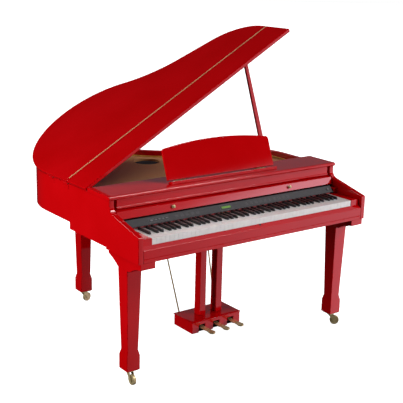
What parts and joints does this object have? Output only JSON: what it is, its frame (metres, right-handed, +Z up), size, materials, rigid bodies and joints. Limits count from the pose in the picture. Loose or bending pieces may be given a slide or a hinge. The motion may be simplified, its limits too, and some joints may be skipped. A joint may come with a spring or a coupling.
{
  "type": "digital baby grand piano",
  "caption": "Red lacquered digital baby grand piano with a propped lid, sliding fallboard, music desk, pedal lyre and brass casters.",
  "frame": {"origin": "on the floor, under the middle of the whole piano's box with the lid propped open", "axes": "+X to the treble side, +Y to the tail, +Z up"},
  "size_m": [1.4084, 1.275, 1.5727],
  "materials": {
    "red_lacquer": "high-gloss red polyester lacquer on wood",
    "plain_wood": "plain board",
    "soundboard_wood": "satin varnished spruce",
    "brass": "polished",
    "white_key": "gloss white",
    "black_key": "satin black",
    "black_plastic": "satin black",
    "button_plastic": "dark grey",
    "display_glass": "green backlit window",
    "red_felt": "wool felt"
  },
  "bodies": {
    "root": {"bass_side_panel": "red_lacquer", "bent_rim": "red_lacquer", "bottom_board": "plain_wood", "case_beams": "plain_wood", "caster_plates": "brass", "control_panel": "black_plastic", "desk_hinges": "brass", "display_window": "display_glass", "electronics": "black_plastic", "fallboard_rails": "black_plastic", "key_felt": "red_felt", "key_frame": "plain_wood", "key_slip_and_cheeks": "red_lacquer", "keybed": "plain_wood", "knee_brackets": "red_lacquer", "legs": "red_lacquer", "lid_case_hinges": "brass", "lyre_brass_rods": "brass", "lyre_frame": "red_lacquer", "nameboard": "red_lacquer", "pedal_box": "red_lacquer", "prop_bracket": "brass", "rim_trim": "brass", "soundboard": "soundboard_wood", "speaker": "black_plastic", "top_panel": "red_lacquer", "treble_side_panel": "red_lacquer"},
    "lid": {"lid_main": "red_lacquer", "lid_brass_hinges": "brass", "prop_cup": "brass"},
    "lid_flap": {"lid_flap": "red_lacquer", "flap_hinge_leaf": "brass"},
    "prop": {"prop_stick": "red_lacquer"},
    "music_desk": {"music_desk": "red_lacquer"},
    "fallboard": {"fallboard": "red_lacquer", "fallboard_knobs": "brass"},
    "keys_c": {"keys_c": "white_key"},
    "keys_c_sharp": {"keys_c_sharp": "black_key"},
    "keys_d": {"keys_d": "white_key"},
    "keys_d_sharp": {"keys_d_sharp": "black_key"},
    "keys_e": {"keys_e": "white_key"},
    "keys_f": {"keys_f": "white_key"},
    "keys_f_sharp": {"keys_f_sharp": "black_key"},
    "keys_g": {"keys_g": "white_key"},
    "keys_g_sharp": {"keys_g_sharp": "black_key"},
    "keys_a": {"keys_a": "white_key"},
    "keys_a_sharp": {"keys_a_sharp": "black_key"},
    "keys_b": {"keys_b": "white_key"},
    "pedal_soft": {"pedal_soft": "brass"},
    "pedal_sostenuto": {"pedal_sostenuto": "brass"},
    "pedal_sustain": {"pedal_sustain": "brass"},
    "power_button": {"power_button": "button_plastic"},
    "select_buttons": {"select_buttons": "button_plastic"},
    "volume_knob": {"volume_knob": "button_plastic"},
    "caster_fork_bass": {"caster_fork_bass": "brass"},
    "caster_wheel_bass": {"caster_wheel_bass": "brass"},
    "caster_fork_treble": {"caster_fork_treble": "brass"},
    "caster_wheel_treble": {"caster_wheel_treble": "brass"},
    "caster_fork_tail": {"caster_fork_tail": "brass"},
    "caster_wheel_tail": {"caster_wheel_tail": "brass"}
  },
  "joints": [
    {"name": "lid_hinge", "type": "hinge", "parent": "root", "child": "lid", "pos_m": [-0.69676, 0.0085, 0.86], "axis": [0, -1, 0], "range_deg": [0, 55]},
    {"name": "flap_hinge", "type": "hinge", "parent": "lid", "child": "lid_flap", "pos_m": [-0.09798, -0.0255, 1.22701], "axis": [-0.8678, 0, -0.497], "range_deg": [0, 175]},
    {"name": "prop_fold", "type": "hinge", "parent": "root", "child": "prop", "pos_m": [0.63123, 0.0955, 0.843], "axis": [0, -0.9863, -0.1652], "range_deg": [0, 66]},
    {"name": "desk_fold", "type": "hinge", "parent": "root", "child": "music_desk", "pos_m": [0.00524, -0.3165, 0.8835], "axis": [-1, 0, 0], "range_deg": [0, 68]},
    {"name": "fallboard_slide", "type": "slide", "parent": "root", "child": "fallboard", "axis": [0, -0.9781, -0.2079], "range_m": [0, 0.18]},
    {"name": "key_c_press", "type": "hinge", "parent": "root", "child": "keys_c", "pos_m": [0.00524, -0.3915, 0.712], "axis": [1, 0, 0], "range_deg": [0, 2.55], "stiffness_Nm_per_rad": 26, "springref_deg": -5.16},
    {"name": "key_c_sharp_press", "type": "hinge", "parent": "root", "child": "keys_c_sharp", "pos_m": [0.00524, -0.3915, 0.712], "axis": [1, 0, 0], "range_deg": [0, 2.55], "stiffness_Nm_per_rad": 12, "springref_deg": -5.16},
    {"name": "key_d_press", "type": "hinge", "parent": "root", "child": "keys_d", "pos_m": [0.00524, -0.3915, 0.712], "axis": [1, 0, 0], "range_deg": [0, 2.55], "stiffness_Nm_per_rad": 26, "springref_deg": -5.16},
    {"name": "key_d_sharp_press", "type": "hinge", "parent": "root", "child": "keys_d_sharp", "pos_m": [0.00524, -0.3915, 0.712], "axis": [1, 0, 0], "range_deg": [0, 2.55], "stiffness_Nm_per_rad": 12, "springref_deg": -5.16},
    {"name": "key_e_press", "type": "hinge", "parent": "root", "child": "keys_e", "pos_m": [0.00524, -0.3915, 0.712], "axis": [1, 0, 0], "range_deg": [0, 2.55], "stiffness_Nm_per_rad": 26, "springref_deg": -5.16},
    {"name": "key_f_press", "type": "hinge", "parent": "root", "child": "keys_f", "pos_m": [0.00524, -0.3915, 0.712], "axis": [1, 0, 0], "range_deg": [0, 2.55], "stiffness_Nm_per_rad": 26, "springref_deg": -5.16},
    {"name": "key_f_sharp_press", "type": "hinge", "parent": "root", "child": "keys_f_sharp", "pos_m": [0.00524, -0.3915, 0.712], "axis": [1, 0, 0], "range_deg": [0, 2.55], "stiffness_Nm_per_rad": 12, "springref_deg": -5.16},
    {"name": "key_g_press", "type": "hinge", "parent": "root", "child": "keys_g", "pos_m": [0.00524, -0.3915, 0.712], "axis": [1, 0, 0], "range_deg": [0, 2.55], "stiffness_Nm_per_rad": 26, "springref_deg": -5.16},
    {"name": "key_g_sharp_press", "type": "hinge", "parent": "root", "child": "keys_g_sharp", "pos_m": [0.00524, -0.3915, 0.712], "axis": [1, 0, 0], "range_deg": [0, 2.55], "stiffness_Nm_per_rad": 12, "springref_deg": -5.16},
    {"name": "key_a_press", "type": "hinge", "parent": "root", "child": "keys_a", "pos_m": [0.00524, -0.3915, 0.712], "axis": [1, 0, 0], "range_deg": [0, 2.55], "stiffness_Nm_per_rad": 26, "springref_deg": -5.16},
    {"name": "key_a_sharp_press", "type": "hinge", "parent": "root", "child": "keys_a_sharp", "pos_m": [0.00524, -0.3915, 0.712], "axis": [1, 0, 0], "range_deg": [0, 2.55], "stiffness_Nm_per_rad": 12, "springref_deg": -5.16},
    {"name": "key_b_press", "type": "hinge", "parent": "root", "child": "keys_b", "pos_m": [0.00524, -0.3915, 0.712], "axis": [1, 0, 0], "range_deg": [0, 2.55], "stiffness_Nm_per_rad": 26, "springref_deg": -5.16},
    {"name": "pedal_soft_press", "type": "hinge", "parent": "root", "child": "pedal_soft", "pos_m": [-0.08676, -0.1865, 0.088], "axis": [1, 0, 0], "range_deg": [0, 5], "stiffness_Nm_per_rad": 30, "springref_deg": -5.73},
    {"name": "pedal_sostenuto_press", "type": "hinge", "parent": "root", "child": "pedal_sostenuto", "pos_m": [0.00524, -0.1865, 0.088], "axis": [1, 0, 0], "range_deg": [0, 5], "stiffness_Nm_per_rad": 30, "springref_deg": -5.73},
    {"name": "pedal_sustain_press", "type": "hinge", "parent": "root", "child": "pedal_sustain", "pos_m": [0.09724, -0.1865, 0.088], "axis": [1, 0, 0], "range_deg": [0, 5], "stiffness_Nm_per_rad": 30, "springref_deg": -5.73},
    {"name": "caster_bass_swivel", "type": "hinge", "parent": "root", "child": "caster_fork_bass", "pos_m": [-0.63877, -0.4885, 0.068], "axis": [0, 0, 1], "continuous": true},
    {"name": "caster_bass_roll", "type": "hinge", "parent": "caster_fork_bass", "child": "caster_wheel_bass", "pos_m": [-0.63877, -0.5125, 0.025], "axis": [-1, 0, 0], "continuous": true},
    {"name": "caster_treble_swivel", "type": "hinge", "parent": "root", "child": "caster_fork_treble", "pos_m": [0.64924, -0.4885, 0.068], "axis": [0, 0, 1], "continuous": true},
    {"name": "caster_treble_roll", "type": "hinge", "parent": "caster_fork_treble", "child": "caster_wheel_treble", "pos_m": [0.66762, -0.50393, 0.025], "axis": [-0.6428, -0.766, 0], "continuous": true},
    {"name": "caster_tail_swivel", "type": "hinge", "parent": "root", "child": "caster_fork_tail", "pos_m": [-0.30677, 0.5275, 0.068], "axis": [0, 0, 1], "continuous": true},
    {"name": "caster_tail_roll", "type": "hinge", "parent": "caster_fork_tail", "child": "caster_wheel_tail", "pos_m": [-0.28358, 0.53371, 0.025], "axis": [0.2588, -0.9659, 0], "continuous": true},
    {"name": "power_button_press", "type": "slide", "parent": "root", "child": "power_button", "axis": [0, 0.6361, -0.7716], "range_m": [0, 0.0015], "stiffness_N_per_m": 600, "springref_m": -0.001},
    {"name": "select_buttons_press", "type": "slide", "parent": "root", "child": "select_buttons", "axis": [0, 0.6361, -0.7716], "range_m": [0, 0.0015], "stiffness_N_per_m": 600, "springref_m": -0.001},
    {"name": "volume_knob_turn", "type": "hinge", "parent": "root", "child": "volume_knob", "pos_m": [0.61223, -0.44573, 0.753], "axis": [0, -0.6361, 0.7716], "range_deg": [0, 270]}
  ]
}
